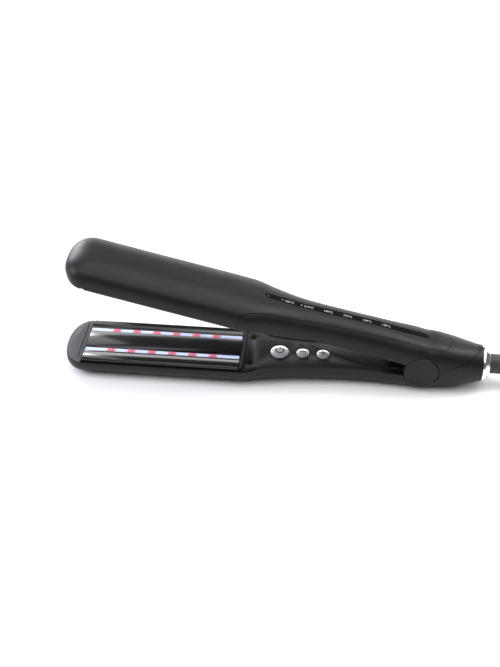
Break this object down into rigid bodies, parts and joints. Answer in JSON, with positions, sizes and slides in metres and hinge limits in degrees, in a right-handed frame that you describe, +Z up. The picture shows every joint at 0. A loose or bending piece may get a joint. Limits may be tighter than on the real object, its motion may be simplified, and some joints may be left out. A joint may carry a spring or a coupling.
{
  "type": "hair iron",
  "caption": "Wide-plate hair iron: hinged black arms with floating glossy plates and glowing strips, push buttons, a temperature display, and a swivel cord tied in a hank.",
  "frame": {"origin": "centre of the iron's bounding box in plan, at the surface it lies on, without the cord", "axes": "+Z up; the iron lies along X with its tip towards -X and its cord end towards +X; the hinge axis is parallel to Y"},
  "size_m": [0.629, 0.0542, 0.0944],
  "materials": {
    "soft_black": "soft-touch black, fine satin",
    "deck_black": "satin moulded black",
    "tip_grey": "matte mid-grey",
    "bar_black": "satin black",
    "screw_black": "black oxide",
    "plate_gloss": "polished black coating",
    "strip_white": "milky light cover",
    "lamp_red": "tinted lamp",
    "chrome": "polished",
    "steel": "plain",
    "display_gloss": "polished dark window",
    "led_white": "clear white",
    "board_green": "circuit board",
    "ceramic": "ceramic heater",
    "carrier_brown": "heat-resistant moulding",
    "rubber_red": "silicone",
    "rubber_black": "matte rubber",
    "wire_black": "silicone insulation",
    "socket_grey": "acetal",
    "plug_pin": "nickel-plated"
  },
  "bodies": {
    "lower_arm": {"lower_shell": "soft_black", "lower_tip_cover": "tip_grey", "lower_deck": "deck_black", "lower_screws": "screw_black", "lower_float_pads": "rubber_red", "button_board": "board_green", "button_switches": "socket_grey", "mains_wires": "wire_black", "lower_hinge_bracket": "steel", "hinge_pin": "steel", "hinge_spring": "steel", "hinge_cover_near": "deck_black", "hinge_cover_far": "deck_black", "swivel_socket": "socket_grey", "cord_ring": "chrome", "lower_end_bar": "bar_black", "power_cord": "rubber_black", "cord_hank": "rubber_black", "hank_tie": "rubber_black", "plug_body": "rubber_black", "plug_pins": "plug_pin"},
    "lower_plate_float": {"lower_plate": "plate_gloss", "lower_light_strips": "strip_white", "lower_lamps": "lamp_red", "lower_lamp_boards": "board_green", "lower_heater": "ceramic", "lower_heater_clamp": "steel", "lower_plate_carrier": "carrier_brown"},
    "power_button": {"power_button": "chrome"},
    "minus_button": {"minus_button": "chrome"},
    "plus_button": {"plus_button": "chrome"},
    "upper_arm": {"upper_housing": "soft_black", "upper_handle": "soft_black", "display_window": "display_gloss", "display_leds": "led_white", "display_board": "board_green", "upper_tip_cover": "tip_grey", "upper_deck": "deck_black", "upper_screws": "screw_black", "upper_float_pads": "rubber_red", "upper_hinge_bracket": "steel", "upper_end_bar": "bar_black"},
    "upper_plate_float": {"upper_plate": "plate_gloss", "upper_light_strips": "strip_white", "upper_lamps": "lamp_red", "upper_lamp_boards": "board_green", "upper_heater": "ceramic", "upper_heater_clamp": "steel", "upper_plate_carrier": "carrier_brown"},
    "cord_swivel": {"swivel_boot": "rubber_black"}
  },
  "joints": [
    {"name": "arm_hinge", "type": "hinge", "parent": "lower_arm", "child": "upper_arm", "pos_m": [0.1022, 0, 0.0175], "axis": [0, 1, 0], "range_deg": [-14.2, 0], "stiffness_Nm_per_rad": 2, "springref_deg": 20.05},
    {"name": "lower_plate_slide", "type": "slide", "parent": "lower_arm", "child": "lower_plate_float", "axis": [0, 0, 1], "range_m": [-0.001, 0], "stiffness_N_per_m": 6000, "springref_m": 0.0005},
    {"name": "upper_plate_slide", "type": "slide", "parent": "upper_arm", "child": "upper_plate_float", "axis": [-0.2453, 0, -0.9694], "range_m": [-0.001, 0], "stiffness_N_per_m": 6000, "springref_m": 0.0005},
    {"name": "power_button_press", "type": "slide", "parent": "lower_arm", "child": "power_button", "axis": [0, 0, 1], "range_m": [-0.0006, 0], "stiffness_N_per_m": 300, "springref_m": 0.0005},
    {"name": "minus_button_press", "type": "slide", "parent": "lower_arm", "child": "minus_button", "axis": [0, 0, 1], "range_m": [-0.0006, 0], "stiffness_N_per_m": 300, "springref_m": 0.0005},
    {"name": "plus_button_press", "type": "slide", "parent": "lower_arm", "child": "plus_button", "axis": [0, 0, 1], "range_m": [-0.0006, 0], "stiffness_N_per_m": 300, "springref_m": 0.0005},
    {"name": "cord_swivel_turn", "type": "hinge", "parent": "lower_arm", "child": "cord_swivel", "pos_m": [0.1492, 0, 0.0165], "axis": [1, 0, 0], "continuous": true}
  ]
}
